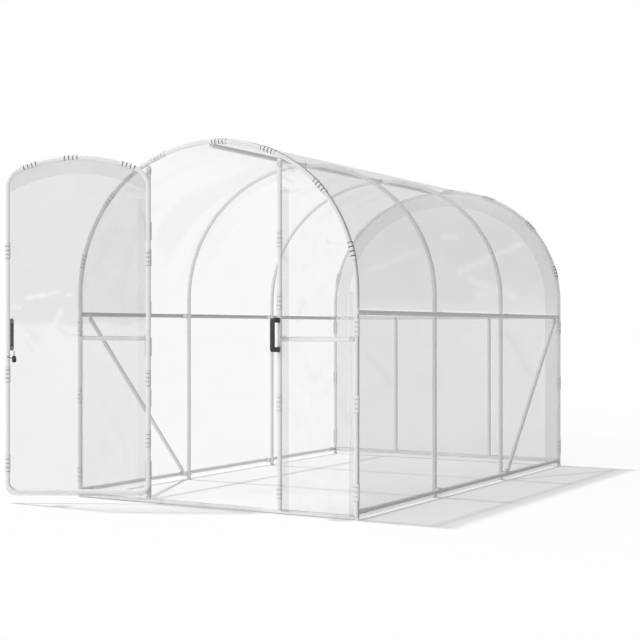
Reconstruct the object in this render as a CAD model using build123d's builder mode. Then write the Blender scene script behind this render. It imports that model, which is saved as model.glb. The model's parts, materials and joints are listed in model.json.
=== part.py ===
import os
from math import asin, atan2, cos, degrees, radians, sin, sqrt, tan

from build123d import *

# Tubes and small fits
tube_diameter = 25.0
fit_gap = 0.3
cut_overrun = 5.0
right_angle = 90.0

# Tunnel, to the middle lines of the end hoops
tunnel_length = 3000.0
tunnel_width = 1820.0
spring_height = 1161.0
arch_rise = 826.5
crown_turn = 26.6
middle_hoop_shares = (0.337, 0.671)
middle_hoop_inset = 39.0
middle_crown_turn = 46.4
clamp_length = 50.0
clamp_width = 30.0

# Rails, posts and braces
purlin_drop = 106.0
base_rail_height = 40.0
front_rail_drop = 137.0
rear_post_spacing = 760.0
brace_top_reach = 65.0

# Film
film_thickness = 2.0
film_foot = 20.0
film_setback = 11.0
crown_strips = 3
shoulder_strips = 4

# Doorway and door leaf
doorway_offset = 17.0
jamb_spacing = 862.0
stile_spacing = 36.0
door_open_angle = 152.8
door_rail_height = 66.0
door_head_gap = 37.3
door_top_radius = 867.0
door_corner_radius = 110.0
door_foot_radius = 50.0

# Hinges
hinge_shares = (0.099, 0.463, 0.805)
hinge_height = 100.0
hinge_plate = 3.0
hinge_plate_reach = 10.0
hinge_barrel_diameter = 12.0
hinge_pin_diameter = 6.0
hinge_pin_reach = 27.0
hinge_pin_forward = 19.0
hinge_side_gap = 1.0
pin_clearance = 0.08

# Snap clips that hold the film
clip_length = 92.0
clip_wall = 2.2
clip_mouth = 16.0
hoop_clip_turns = (-75.0, -47.0, -19.3, 3.6, 21.3, 47.0, 75.0)
clip_rail_gap = 3.5
leg_clip_shares = (0.134, 0.559)
left_jamb_clip_shares = (0.041, 0.311, 0.574, 0.728)
right_jamb_clip_shares = (0.067, 0.314, 0.598, 0.775)
hinge_stile_clip_shares = (0.187, 0.363, 0.71)
free_stile_clip_shares = (0.114, 0.373, 0.731)
door_top_clip_turns = (-18.7, 3.1, 18.7)

# Pull handles and latch
handle_height = 940.0
handle_length = 180.0
handle_depth = 67.0
handle_grip = 15.5
handle_foot = 26.0
handle_width = 22.0
handle_corner = 18.0
handle_edge = 3.0
latch_knob_diameter = 24.0
latch_knob_length = 38.0
latch_knob_round = 10.0
latch_knob_drop = 137.0
latch_knob_inset = 39.0
latch_rod_diameter = 4.0
latch_rod_rise = 45.0
latch_side_rise = 14.0

# Sizes worked out from those above
tube_radius = tube_diameter / 2
half_width = tunnel_width / 2
crown_height = spring_height + arch_rise
turn_across = sin(radians(crown_turn))
turn_up = cos(radians(crown_turn))
radius_step = (half_width - arch_rise) / (turn_across + turn_up - 1)
shoulder_middle = radius_step * turn_across
shoulder_radius = half_width - shoulder_middle
crown_radius = shoulder_radius + radius_step
crown_middle = crown_height - crown_radius
middle_shoulder_top = spring_height + shoulder_radius - middle_hoop_inset
ridge_height = middle_shoulder_top + shoulder_middle * tan(radians(middle_crown_turn) / 2)
purlin_height = spring_height - purlin_drop
front_rail_height = purlin_height - front_rail_drop
leg_clip_heights = [share * purlin_height for share in leg_clip_shares]
leg_clip_heights.append(front_rail_height + tube_radius + clip_rail_gap + clip_length / 2)
film_inside = tube_radius + fit_gap
film_outside = film_inside + film_thickness
clip_bore = tube_radius + fit_gap
clip_radius = clip_bore + clip_wall
left_jamb = doorway_offset - jamb_spacing / 2
right_jamb = doorway_offset + jamb_spacing / 2
leaf_width = jamb_spacing - 2 * stile_spacing
door_crown_height = crown_height - tube_diameter - door_head_gap
latch_knob_height = handle_height - latch_knob_drop
pin_across = left_jamb + hinge_pin_reach
hinge_stile = stile_spacing - hinge_pin_reach
free_stile = hinge_stile + leaf_width
barrel_radius = hinge_barrel_diameter / 2
open_angle = radians(door_open_angle)
handle_seat = tube_radius + fit_gap
handle_turn_out = handle_seat + handle_depth - handle_edge
handle_turn_across = handle_width / 2 - handle_edge

# Tunnel placed so that the whole object, with its door open, is centred
leaf_tip_left = pin_across + free_stile * cos(open_angle) + hinge_pin_forward * sin(open_angle)
leaf_tip_front = hinge_pin_forward * cos(open_angle) - free_stile * sin(open_angle) - hinge_pin_forward
handle_tip = handle_turn_out * sin(open_angle) - handle_turn_across * cos(open_angle) + handle_edge
tunnel_middle = -(half_width + clip_radius + leaf_tip_left - handle_tip) / 2
front_at = -(tunnel_length + leaf_tip_front) / 2
rear_at = front_at + tunnel_length


def wall_plane(along):
    # upright plane across the tunnel that faces the front
    return Plane(origin=(tunnel_middle, along, 0), x_dir=(1, 0, 0), z_dir=(0, -1, 0))


def side_plane(across):
    # upright plane along the tunnel, measured from the front hoop
    return Plane(origin=(tunnel_middle + across, front_at, 0), x_dir=(0, 1, 0), z_dir=(1, 0, 0))


def spot(plane, across, up, out=0):
    return plane.from_local_coords(Vector(across, up, out))


front = wall_plane(front_at)
rear = wall_plane(rear_at)
leaf_across = Vector(cos(open_angle), -sin(open_angle), 0)
leaf_out = leaf_across.cross(Vector(0, 0, 1))
pin_foot = spot(front, pin_across, 0, hinge_pin_forward)
leaf = Plane(origin=pin_foot - leaf_out * hinge_pin_forward, x_dir=leaf_across, z_dir=leaf_out)


def bar(plane, start, end, diameter=tube_diameter):
    # straight round bar between two points of an upright plane
    first = spot(plane, *start)
    run = spot(plane, *end) - first
    with BuildSketch(Plane(origin=first, z_dir=run)) as section:
        Circle(diameter / 2)
    extrude(section.sketch, amount=run.length)


def turn_start(plane, middle, radius, turn):
    # point and direction on a circle, the turn counted from straight up towards the right
    across, up = sin(radians(turn)), cos(radians(turn))
    point = spot(plane, middle[0] + radius * across, middle[1] + radius * up)
    ahead = plane.x_dir * up - plane.y_dir * across
    return point, ahead


def bend(plane, middle, radius, turn_from, turn_to):
    # bent round tube in an upright plane
    point, ahead = turn_start(plane, middle, radius, turn_from)
    with BuildSketch(Plane(origin=point, z_dir=ahead)) as section:
        Circle(tube_radius)
    axis = Axis(spot(plane, *middle), plane.z_dir * -1)
    revolve(section.sketch, axis=axis, revolution_arc=turn_to - turn_from)


def hoop(plane, inset, turn, top):
    # two legs, two shoulder bends and a crown bend up to the top, plugged end to end
    half = half_width - inset
    shoulder = shoulder_radius - inset
    crown = shoulder + shoulder_middle / sin(radians(turn))
    crown_gap = degrees(fit_gap / crown)
    for side in (-1, 1):
        bar(plane, (side * half, 0), (side * half, spring_height - fit_gap))
    bend(plane, (-shoulder_middle, spring_height), shoulder, -right_angle, -turn)
    bend(plane, (shoulder_middle, spring_height), shoulder, turn, right_angle)
    bend(plane, (0, top - crown), crown, crown_gap - turn, turn - crown_gap)


def clip_section(point, ahead, mouth):
    # open ring that snaps over a tube, its mouth towards the given side
    with BuildSketch(Plane(origin=point, x_dir=mouth, z_dir=ahead)) as section:
        Circle(clip_radius)
        Circle(clip_bore, mode=Mode.SUBTRACT)
        Rectangle(clip_radius + cut_overrun, clip_mouth, align=(Align.MIN, Align.CENTER), mode=Mode.SUBTRACT)
    return section.sketch


def straight_clip(plane, across, height, mouth):
    foot = spot(plane, across, height - clip_length / 2)
    extrude(clip_section(foot, plane.y_dir, mouth), amount=clip_length)


def bent_clip(plane, middle, radius, turn, back):
    half_turn = degrees(clip_length / radius) / 2
    point, ahead = turn_start(plane, middle, radius, turn - half_turn)
    inward = spot(plane, *middle) - point
    mouth = inward.normalized() + back
    axis = Axis(spot(plane, *middle), plane.z_dir * -1)
    revolve(clip_section(point, ahead, mouth), axis=axis, revolution_arc=2 * half_turn)


def hoop_clips(plane, back):
    # clips round an end hoop, with their mouths inwards and towards the tunnel
    for side in (-1, 1):
        for height in leg_clip_heights:
            straight_clip(plane, side * half_width, height, plane.x_dir * -side + back)
    for turn in hoop_clip_turns:
        if abs(turn) < crown_turn:
            bent_clip(plane, (0, crown_middle), crown_radius, turn, back)
        else:
            middle = (shoulder_middle if turn > 0 else -shoulder_middle, spring_height)
            bent_clip(plane, middle, shoulder_radius, turn, back)


def arch_outline(inset, foot):
    # outline of an end wall that stays inside a hoop
    half = half_width - inset
    shoulder = shoulder_radius - inset
    shoulder_turn = right_angle - crown_turn
    Line((-half, spring_height), (-half, foot))
    Line((-half, foot), (half, foot))
    Line((half, foot), (half, spring_height))
    CenterArc((shoulder_middle, spring_height), shoulder, 0, shoulder_turn)
    CenterArc((0, crown_middle), crown_radius - inset, shoulder_turn, 2 * crown_turn)
    CenterArc((-shoulder_middle, spring_height), shoulder, right_angle + crown_turn, shoulder_turn)


def arch_top(across, inset):
    # height of the arch's line, set in, at a distance from the middle
    if across < (crown_radius - inset) * turn_across:
        return crown_middle + sqrt((crown_radius - inset) ** 2 - across**2)
    return spring_height + sqrt((shoulder_radius - inset) ** 2 - (across - shoulder_middle) ** 2)


# Jambs stop under the front hoop, at their side that it comes down to
jamb_foot = tube_diameter + fit_gap
left_jamb_top = arch_top(tube_radius - left_jamb, tube_radius) - fit_gap
right_jamb_top = arch_top(tube_radius + right_jamb, tube_radius) - fit_gap
hinge_heights = [share * left_jamb_top for share in hinge_shares]


def roof_strip(plane, middle, radius, turn_from, turn_to, length):
    with BuildSketch(plane) as section:
        with BuildLine():
            inner = CenterArc(middle, radius + film_inside, right_angle - turn_to, turn_to - turn_from)
            outer = CenterArc(middle, radius + film_outside, right_angle - turn_to, turn_to - turn_from)
            Line(inner @ 0, outer @ 0)
            Line(inner @ 1, outer @ 1)
        make_face()
    extrude(section.sketch, amount=length)


def pull_handle(seat, out):
    # bow handle with both feet at the height of its seat
    up = Vector(0, 0, 1)
    profile_plane = Plane(origin=seat, x_dir=out, z_dir=out.cross(up))
    inside = handle_length - 2 * handle_foot
    with BuildSketch(profile_plane) as profile:
        Rectangle(handle_depth, handle_length, align=(Align.MIN, Align.CENTER))
        fillet(profile.vertices().group_by(Axis.X)[-1], radius=handle_corner)
        Rectangle(handle_depth - handle_grip, inside, align=(Align.MIN, Align.CENTER), mode=Mode.SUBTRACT)
    extrude(profile.sketch, amount=handle_width / 2, both=True)


def hinge_half(plane, pin, edge, foot, knuckle_foot, knuckle_height):
    # leaf plate on a tube's front with the knuckle that carries it on the pin
    beside = pin + (barrel_radius + hinge_side_gap) * (1 if edge > pin else -1)
    top = foot + hinge_height
    knuckle_top = knuckle_foot + knuckle_height
    with BuildSketch(plane.offset(tube_radius + fit_gap)) as plate:
        Polygon((edge, foot), (beside, foot), (beside, top), (edge, top), align=None)
        Polygon((beside, knuckle_foot), (pin, knuckle_foot), (pin, knuckle_top), (beside, knuckle_top), align=None)
    extrude(plate.sketch, amount=hinge_plate)
    with BuildSketch(Plane(origin=spot(plane, pin, knuckle_foot, hinge_pin_forward))) as knuckle:
        Circle(barrel_radius)
    extrude(knuckle.sketch, amount=knuckle_height)


os.makedirs("parts", exist_ok=True)

# End hoops and middle hoops
with BuildPart() as front_hoop:
    hoop(front, 0, crown_turn, crown_height)

with BuildPart() as second_hoop:
    second_wall = wall_plane(front_at + tunnel_length * middle_hoop_shares[0])
    hoop(second_wall, middle_hoop_inset, middle_crown_turn, ridge_height)

with BuildPart() as third_hoop:
    third_wall = wall_plane(front_at + tunnel_length * middle_hoop_shares[1])
    hoop(third_wall, middle_hoop_inset, middle_crown_turn, ridge_height)

with BuildPart() as rear_hoop:
    hoop(rear, 0, crown_turn, crown_height)

# Purlins and base rails between the end hoops
rail_start = tube_radius + fit_gap
rail_end = tunnel_length - rail_start

with BuildPart() as ridge_purlin:
    # in pieces, from each hoop to the next
    stops = [0, *(tunnel_length * share for share in middle_hoop_shares), tunnel_length]
    for piece_from, piece_to in zip(stops, stops[1:]):
        bar(side_plane(0), (piece_from + rail_start, ridge_height), (piece_to - rail_start, ridge_height))

with BuildPart() as left_purlin:
    bar(side_plane(-half_width), (rail_start, purlin_height), (rail_end, purlin_height))

with BuildPart() as right_purlin:
    bar(side_plane(half_width), (rail_start, purlin_height), (rail_end, purlin_height))

with BuildPart() as left_base_rail:
    bar(side_plane(-half_width), (rail_start, base_rail_height), (rail_end, base_rail_height))

with BuildPart() as right_base_rail:
    bar(side_plane(half_width), (rail_start, base_rail_height), (rail_end, base_rail_height))

# Clamps where purlins and base rails cross the middle hoops, and cross blocks where the ridge meets them
with BuildPart() as cross_clamps:
    along = Vector(0, 1, 0)
    upward = Vector(0, 0, 1)
    crossings = [(0, ridge_height, upward, Vector(1, 0, 0), 0, clamp_width / 2, clamp_width)]
    for side in (-1, 1):
        for height in (base_rail_height, purlin_height):
            out = Vector(side, 0, 0)
            crossings.append((side * half_width, height, out, upward, middle_hoop_inset, 0, middle_hoop_inset))
    bore_length = clamp_length + 2 * cut_overrun
    for share in middle_hoop_shares:
        for across, height, out, hoop_along, apart, pad_behind, pad_depth in crossings:
            purlin_point = spot(side_plane(across), tunnel_length * share, height)
            hoop_point = purlin_point - out * apart
            pad_foot = hoop_point - out * pad_behind
            with BuildSketch(Plane(origin=pad_foot, x_dir=along, z_dir=out)) as pad:
                Rectangle(clamp_length, clamp_width)
            extrude(pad.sketch, amount=pad_depth)
            for point, bore_along in ((purlin_point, along), (hoop_point, hoop_along)):
                with BuildSketch(Plane(origin=point - bore_along * (bore_length / 2), z_dir=bore_along)) as bore:
                    Circle(tube_radius + fit_gap)
                extrude(bore.sketch, amount=bore_length, mode=Mode.SUBTRACT)

# Front wall frame
wall_end = half_width - tube_radius - fit_gap

with BuildPart() as front_sill:
    bar(front, (-wall_end, tube_radius), (wall_end, tube_radius))

with BuildPart() as left_door_jamb:
    bar(front, (left_jamb, jamb_foot), (left_jamb, left_jamb_top))

with BuildPart() as right_door_jamb:
    bar(front, (right_jamb, jamb_foot), (right_jamb, right_jamb_top))

with BuildPart() as front_left_rail:
    bar(front, (-wall_end, front_rail_height), (left_jamb - tube_radius - fit_gap, front_rail_height))

with BuildPart() as front_right_rail:
    bar(front, (right_jamb + tube_radius + fit_gap, front_rail_height), (wall_end, front_rail_height))

# Rear wall frame
with BuildPart() as rear_base_rail:
    bar(rear, (-wall_end, base_rail_height), (wall_end, base_rail_height))

with BuildPart() as rear_mid_rail:
    bar(rear, (-wall_end, purlin_height), (wall_end, purlin_height))

with BuildPart() as rear_posts:
    post_foot = base_rail_height + tube_radius + fit_gap
    post_top = purlin_height - tube_radius - fit_gap
    for side in (-1, 1):
        post_at = side * rear_post_spacing / 2
        bar(rear, (post_at, post_foot), (post_at, post_top))

# Diagonal braces, from under a purlin near an end leg down to a middle hoop's foot
def brace_ends(foot_along):
    rise = purlin_height - base_rail_height
    slope = atan2(rise, foot_along - brace_top_reach)
    trim_up = tube_radius + fit_gap + tube_radius * cos(slope)
    trim_along = trim_up * (foot_along - brace_top_reach) / rise
    top = (brace_top_reach + trim_along, purlin_height - trim_up)
    foot = (foot_along - trim_along, base_rail_height + trim_up)
    return top, foot


with BuildPart() as front_left_brace:
    bar(side_plane(-half_width), *brace_ends(tunnel_length * middle_hoop_shares[0]))

with BuildPart() as rear_right_brace:
    rear_ends = brace_ends(tunnel_length * (1 - middle_hoop_shares[1]))
    bar(side_plane(half_width), *((tunnel_length - along, up) for along, up in rear_ends))

# Film over the sides and roof, in strips that follow the hoops
with BuildPart() as tunnel_cover:
    cover_rear = wall_plane(rear_at - film_setback)
    cover_length = tunnel_length - 2 * film_setback
    for side in (-1, 1):
        inside = side * (half_width + film_inside)
        outside = side * (half_width + film_outside)
        wall_top = spring_height - fit_gap
        with BuildSketch(cover_rear) as wall:
            Polygon((inside, film_foot), (outside, film_foot), (outside, wall_top), (inside, wall_top), align=None)
        extrude(wall.sketch, amount=cover_length)
    strip_gap = degrees(fit_gap / shoulder_radius)
    shoulder_step = (right_angle - crown_turn) / shoulder_strips
    crown_step = 2 * crown_turn / crown_strips
    for strip in range(shoulder_strips):
        low = crown_turn + strip * shoulder_step
        high = low + shoulder_step - strip_gap
        middle = (shoulder_middle, spring_height)
        roof_strip(cover_rear, middle, shoulder_radius, low, high, cover_length)
        middle = (-shoulder_middle, spring_height)
        roof_strip(cover_rear, middle, shoulder_radius, -high, -low, cover_length)
    for strip in range(crown_strips):
        low = strip * crown_step - crown_turn + strip_gap
        high = low + crown_step - 2 * strip_gap
        roof_strip(cover_rear, (0, crown_middle), crown_radius, low, high, cover_length)

# Film on the end walls
with BuildPart() as front_left_panel:
    with BuildSketch(front.offset(film_inside)):
        with BuildLine():
            arch_outline(film_setback, film_foot)
        make_face()
        with BuildSketch(mode=Mode.PRIVATE) as left_keep:
            left_edge = left_jamb - film_setback
            left_limit = -half_width - cut_overrun
            roof_limit = crown_height + cut_overrun
            Polygon((left_limit, 0), (left_edge, 0), (left_edge, roof_limit), (left_limit, roof_limit), align=None)
        add(left_keep.sketch, mode=Mode.INTERSECT)
    extrude(amount=film_thickness)

with BuildPart() as front_right_panel:
    with BuildSketch(front.offset(film_inside)):
        with BuildLine():
            arch_outline(film_setback, film_foot)
        make_face()
        with BuildSketch(mode=Mode.PRIVATE) as right_keep:
            right_edge = right_jamb + film_setback
            right_limit = half_width + cut_overrun
            roof_limit = crown_height + cut_overrun
            Polygon((right_edge, 0), (right_limit, 0), (right_limit, roof_limit), (right_edge, roof_limit), align=None)
        add(right_keep.sketch, mode=Mode.INTERSECT)
    extrude(amount=film_thickness)

with BuildPart() as rear_panel:
    with BuildSketch(rear.offset(-film_outside)):
        with BuildLine():
            arch_outline(film_setback, film_foot)
        make_face()
    extrude(amount=film_thickness)

# Clips on the end hoops and door jambs
with BuildPart() as front_hoop_clips:
    hoop_clips(front, Vector(0, 1, 0))

with BuildPart() as rear_hoop_clips:
    hoop_clips(rear, Vector(0, -1, 0))

with BuildPart() as left_jamb_clips:
    for share in left_jamb_clip_shares:
        straight_clip(front, left_jamb, share * left_jamb_top, Vector(-1, 1, 0))

with BuildPart() as right_jamb_clips:
    for share in right_jamb_clip_shares:
        straight_clip(front, right_jamb, share * right_jamb_top, Vector(1, 1, 0))

# Handle and hinge halves that stay on the jambs
with BuildPart() as jamb_handle:
    pull_handle(spot(front, right_jamb, handle_height, handle_seat), Vector(0, -1, 0))
    fillet(jamb_handle.edges().filter_by(GeomType.LINE).group_by(SortBy.LENGTH)[-1], radius=handle_edge)

knuckle_height = (hinge_height - fit_gap) / 2

with BuildPart() as jamb_hinges:
    for height in hinge_heights:
        hinge_foot = height - hinge_height / 2
        hinge_half(front, pin_across, left_jamb - hinge_plate_reach, hinge_foot, hinge_foot, knuckle_height)
        with BuildSketch(Plane(origin=spot(front, pin_across, hinge_foot, hinge_pin_forward))) as pin:
            Circle(hinge_pin_diameter / 2)
        extrude(pin.sketch, amount=hinge_height)

# Door leaf frame, hung open
door_middle = hinge_stile + leaf_width / 2
door_half = leaf_width / 2
top_middle = (door_middle, door_crown_height - door_top_radius)
corner_across = door_half - door_corner_radius
corner_up = top_middle[1] + sqrt((door_top_radius - door_corner_radius) ** 2 - corner_across**2)
top_turn = degrees(asin(corner_across / (door_top_radius - door_corner_radius)))
foot_across = door_half - door_foot_radius
foot_up = door_rail_height + door_foot_radius

with BuildPart() as door_stiles:
    for stile in (hinge_stile, free_stile):
        bar(leaf, (stile, foot_up), (stile, corner_up))

with BuildPart() as door_top_rail:
    bend(leaf, top_middle, door_top_radius, -top_turn, top_turn)

with BuildPart() as door_corners:
    corner_gap = degrees(fit_gap / door_corner_radius)
    foot_gap = degrees(fit_gap / door_foot_radius)
    for side, turn in ((-1, -right_angle), (1, top_turn)):
        upper = (door_middle + side * corner_across, corner_up)
        turn_length = right_angle - top_turn - 2 * corner_gap
        bend(leaf, upper, door_corner_radius, turn + corner_gap, turn + corner_gap + turn_length)
    for side, turn in ((-1, 2 * right_angle), (1, right_angle)):
        lower = (door_middle + side * foot_across, foot_up)
        bend(leaf, lower, door_foot_radius, turn + foot_gap, turn + right_angle - foot_gap)

with BuildPart() as door_bottom_rail:
    rail_from = (door_middle - foot_across, door_rail_height)
    rail_to = (door_middle + foot_across, door_rail_height)
    bar(leaf, rail_from, rail_to)

with BuildPart() as door_film:
    film_edge = tube_radius + fit_gap
    film_half = door_half - film_edge
    film_corner = door_corner_radius - film_edge
    film_foot_corner = door_foot_radius - film_edge
    film_low = door_rail_height + film_edge
    left_at = door_middle - film_half
    right_at = door_middle + film_half
    round_left = door_middle - corner_across
    round_right = door_middle + corner_across
    foot_left = door_middle - foot_across
    foot_right = door_middle + foot_across
    corner_arc = right_angle - top_turn
    with BuildSketch(leaf.offset(-film_thickness / 2)):
        with BuildLine():
            Line((foot_left, film_low), (foot_right, film_low))
            CenterArc((foot_right, foot_up), film_foot_corner, -right_angle, right_angle)
            Line((right_at, foot_up), (right_at, corner_up))
            CenterArc((round_right, corner_up), film_corner, 0, corner_arc)
            CenterArc(top_middle, door_top_radius - film_edge, corner_arc, 2 * top_turn)
            CenterArc((round_left, corner_up), film_corner, right_angle + top_turn, corner_arc)
            Line((left_at, corner_up), (left_at, foot_up))
            CenterArc((foot_left, foot_up), film_foot_corner, 2 * right_angle, right_angle)
        make_face()
    extrude(amount=film_thickness)

with BuildPart() as door_clips:
    for share in hinge_stile_clip_shares:
        straight_clip(leaf, hinge_stile, share * door_crown_height, leaf_across)
    for share in free_stile_clip_shares:
        straight_clip(leaf, free_stile, share * door_crown_height, leaf_across * -1)
    for turn in door_top_clip_turns:
        bent_clip(leaf, top_middle, door_top_radius, turn, Vector(0, 0, 0))

# Hinge halves, handle and latch that move with the door
with BuildPart() as door_hinges:
    for height in hinge_heights:
        hinge_foot = height - hinge_height / 2
        knuckle_foot = height + fit_gap / 2
        hinge_half(leaf, 0, hinge_stile + hinge_plate_reach, hinge_foot, knuckle_foot, knuckle_height)
        with BuildSketch(Plane(origin=spot(leaf, 0, hinge_foot, hinge_pin_forward))) as pin_hole:
            Circle(hinge_pin_diameter / 2 + pin_clearance)
        extrude(pin_hole.sketch, amount=hinge_height + cut_overrun, mode=Mode.SUBTRACT)

with BuildPart() as door_handle:
    pull_handle(spot(leaf, free_stile, handle_height, handle_seat), leaf_out)
    fillet(door_handle.edges().filter_by(GeomType.LINE).group_by(SortBy.LENGTH)[-1], radius=handle_edge)

with BuildPart() as door_latch:
    latch_out = tube_radius + fit_gap + latch_rod_diameter / 2
    latch = leaf.offset(-latch_out)
    knob_across = free_stile - latch_knob_inset
    knob_foot = latch_knob_height - latch_knob_length / 2
    with BuildSketch(Plane(origin=spot(latch, knob_across, knob_foot))) as knob:
        Circle(latch_knob_diameter / 2)
    extrude(knob.sketch, amount=latch_knob_length)
    fillet(door_latch.edges().filter_by(GeomType.CIRCLE), radius=latch_knob_round)
    knob_at = (knob_across, latch_knob_height)
    bar(latch, knob_at, (free_stile, latch_knob_height + latch_side_rise), latch_rod_diameter)
    bar(latch, knob_at, (knob_across, latch_knob_height + latch_rod_rise), latch_rod_diameter)

# Named pieces
pieces = {
    "front_hoop": front_hoop,
    "second_hoop": second_hoop,
    "third_hoop": third_hoop,
    "rear_hoop": rear_hoop,
    "ridge_purlin": ridge_purlin,
    "left_purlin": left_purlin,
    "right_purlin": right_purlin,
    "left_base_rail": left_base_rail,
    "right_base_rail": right_base_rail,
    "cross_clamps": cross_clamps,
    "front_sill": front_sill,
    "left_door_jamb": left_door_jamb,
    "right_door_jamb": right_door_jamb,
    "front_left_rail": front_left_rail,
    "front_right_rail": front_right_rail,
    "rear_base_rail": rear_base_rail,
    "rear_mid_rail": rear_mid_rail,
    "rear_posts": rear_posts,
    "front_left_brace": front_left_brace,
    "rear_right_brace": rear_right_brace,
    "tunnel_cover": tunnel_cover,
    "front_left_panel": front_left_panel,
    "front_right_panel": front_right_panel,
    "rear_panel": rear_panel,
    "front_hoop_clips": front_hoop_clips,
    "rear_hoop_clips": rear_hoop_clips,
    "left_jamb_clips": left_jamb_clips,
    "right_jamb_clips": right_jamb_clips,
    "jamb_handle": jamb_handle,
    "jamb_hinges": jamb_hinges,
    "door_stiles": door_stiles,
    "door_top_rail": door_top_rail,
    "door_corners": door_corners,
    "door_bottom_rail": door_bottom_rail,
    "door_film": door_film,
    "door_clips": door_clips,
    "door_hinges": door_hinges,
    "door_handle": door_handle,
    "door_latch": door_latch,
}
for name, piece in pieces.items():
    piece.part.label = name
    export_step(piece.part, f"parts/{name}.step")
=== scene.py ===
import json
from math import acos, asin, cos, exp, pi, radians, sin, sqrt

import bpy
import numpy as np
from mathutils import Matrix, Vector, noise


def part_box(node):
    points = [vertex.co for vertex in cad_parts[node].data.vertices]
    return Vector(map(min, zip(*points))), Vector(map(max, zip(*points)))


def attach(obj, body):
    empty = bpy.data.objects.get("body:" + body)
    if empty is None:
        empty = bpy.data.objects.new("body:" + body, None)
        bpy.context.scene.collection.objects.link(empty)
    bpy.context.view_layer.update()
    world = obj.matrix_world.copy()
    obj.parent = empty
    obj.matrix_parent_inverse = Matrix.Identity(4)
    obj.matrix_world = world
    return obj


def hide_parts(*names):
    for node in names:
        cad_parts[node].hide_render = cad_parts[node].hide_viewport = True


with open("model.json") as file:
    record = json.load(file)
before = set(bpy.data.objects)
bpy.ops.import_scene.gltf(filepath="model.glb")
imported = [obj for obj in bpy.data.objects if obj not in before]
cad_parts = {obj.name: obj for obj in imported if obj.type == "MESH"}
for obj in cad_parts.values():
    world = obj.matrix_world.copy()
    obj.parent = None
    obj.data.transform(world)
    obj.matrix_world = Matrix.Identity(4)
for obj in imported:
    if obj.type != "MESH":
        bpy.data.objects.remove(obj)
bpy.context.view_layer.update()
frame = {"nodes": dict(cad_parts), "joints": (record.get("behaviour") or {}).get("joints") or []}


def middle_of(node):
    low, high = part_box(node)
    return (low + high) / 2


# Tunnel frame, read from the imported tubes
hoop_low, hoop_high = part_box("front_hoop")
tube_radius = (hoop_high.y - hoop_low.y) / 2
middle_x = (hoop_low.x + hoop_high.x) / 2
half_width = (hoop_high.x - hoop_low.x) / 2 - tube_radius
crown_height = hoop_high.z - tube_radius
front_y = (hoop_low.y + hoop_high.y) / 2
rear_y = middle_of("rear_hoop").y
purlin_height = middle_of("left_purlin").z
ridge_height = middle_of("ridge_purlin").z
base_rail_height = middle_of("left_base_rail").z
front_rail_height = middle_of("front_left_rail").z
rear_rail_height = middle_of("rear_mid_rail").z
posts_low, posts_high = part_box("rear_posts")
rear_post = (posts_high.x - posts_low.x) / 2 - tube_radius
rear_post_top = posts_high.z
left_jamb = middle_of("left_door_jamb").x - middle_x
right_jamb = middle_of("right_door_jamb").x - middle_x
left_jamb_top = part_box("left_door_jamb")[1].z
right_jamb_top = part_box("right_door_jamb")[1].z
up = Vector((0, 0, 1))

# Arch of the hoops: a crown bend between two shoulder bends on upright legs
spring_height = 1.161
crown_turn = radians(26.6)
arch_rise = crown_height - spring_height
radius_step = (half_width - arch_rise) / (sin(crown_turn) + cos(crown_turn) - 1)
shoulder_middle = radius_step * sin(crown_turn)
shoulder_radius = half_width - shoulder_middle
crown_radius = shoulder_radius + radius_step
crown_middle = crown_height - crown_radius
crown_run = crown_radius * crown_turn
shoulder_run = shoulder_radius * (pi / 2 - crown_turn)

# Door leaf, hung on the joint's pin
joint = frame["joints"][0]
pin_x, pin_y = joint["pos_m"][:2]
open_angle = radians(-joint["range_deg"][0])
leaf_across = Vector((cos(open_angle), -sin(open_angle), 0))
leaf_out = leaf_across.cross(up)
pin_forward = front_y - pin_y
leaf_foot = Vector((pin_x, pin_y, 0)) - leaf_out * pin_forward
stile_spacing = 0.036
leaf_width = right_jamb - left_jamb - 2 * stile_spacing
hinge_stile = stile_spacing - (pin_x - middle_x - left_jamb)
free_stile = hinge_stile + leaf_width
door_middle = (hinge_stile + free_stile) / 2
door_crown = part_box("door_top_rail")[1].z - tube_radius
door_rail_height = middle_of("door_bottom_rail").z
door_top_radius = 0.867
door_corner_radius = 0.110
door_foot_radius = 0.050
door_head_middle = door_crown - door_top_radius

# Film
cover_offset = 0.0130
panel_offset = 0.0127
hem_gap = 0.0006
film_foot = 0.014
wrap_steps = 7
cover_wrap = radians(105)
panel_wrap = radians(95)
cover_sag = 0.0105
cover_settle = 0.20
cover_slack = 0.004
cover_broad_slack = 0.003
cover_ripple = 0.0012
crumple_scale = 11.0
crumple_depth = 0.005
pull_depth = 0.0025
pull_reach = 0.09
panel_rise = 0.0015
panel_past_jamb = 0.03
panel_top_drop = 0.004
rail_taut_reach = (0.012, 0.07)
edge_taut_reach = 0.04
rear_slack = 0.002
rear_crown_gap = 0.02
rear_tone_heights = (1.06, 1.26)
rear_tone_wave = 0.10
door_slack = 0.002
door_crown_gap = 0.02
rear_hem_width = 0.108
door_hem_width = 0.088
jamb_hem_width = 0.052
jamb_hem_top = 1.70
leg_hem_width = 0.026
door_hem_inset = 0.003
door_flap_drop = 0.016
door_flap_lap = 0.003
door_flap_wave = 0.002
door_flap_out = 0.004
door_tone_height = 1.000
door_tone_wave = 0.045
door_tone_blur = 0.02
tight_share = 0.15
tight_near_share = 0.8
tight_far_share = 1.4
rim_shade_share = 1.5
rim_turn = radians(30)

# Haze of each film, as the share that it covers
# Across the cover the haze is painted light: low on the sunlit left wall, high on the shaded roof and right
# wall
left_wall_haze = 0.07
left_painted_reflection_haze = 0.07
roof_haze = 0.365
right_wall_haze = 0.27
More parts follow.
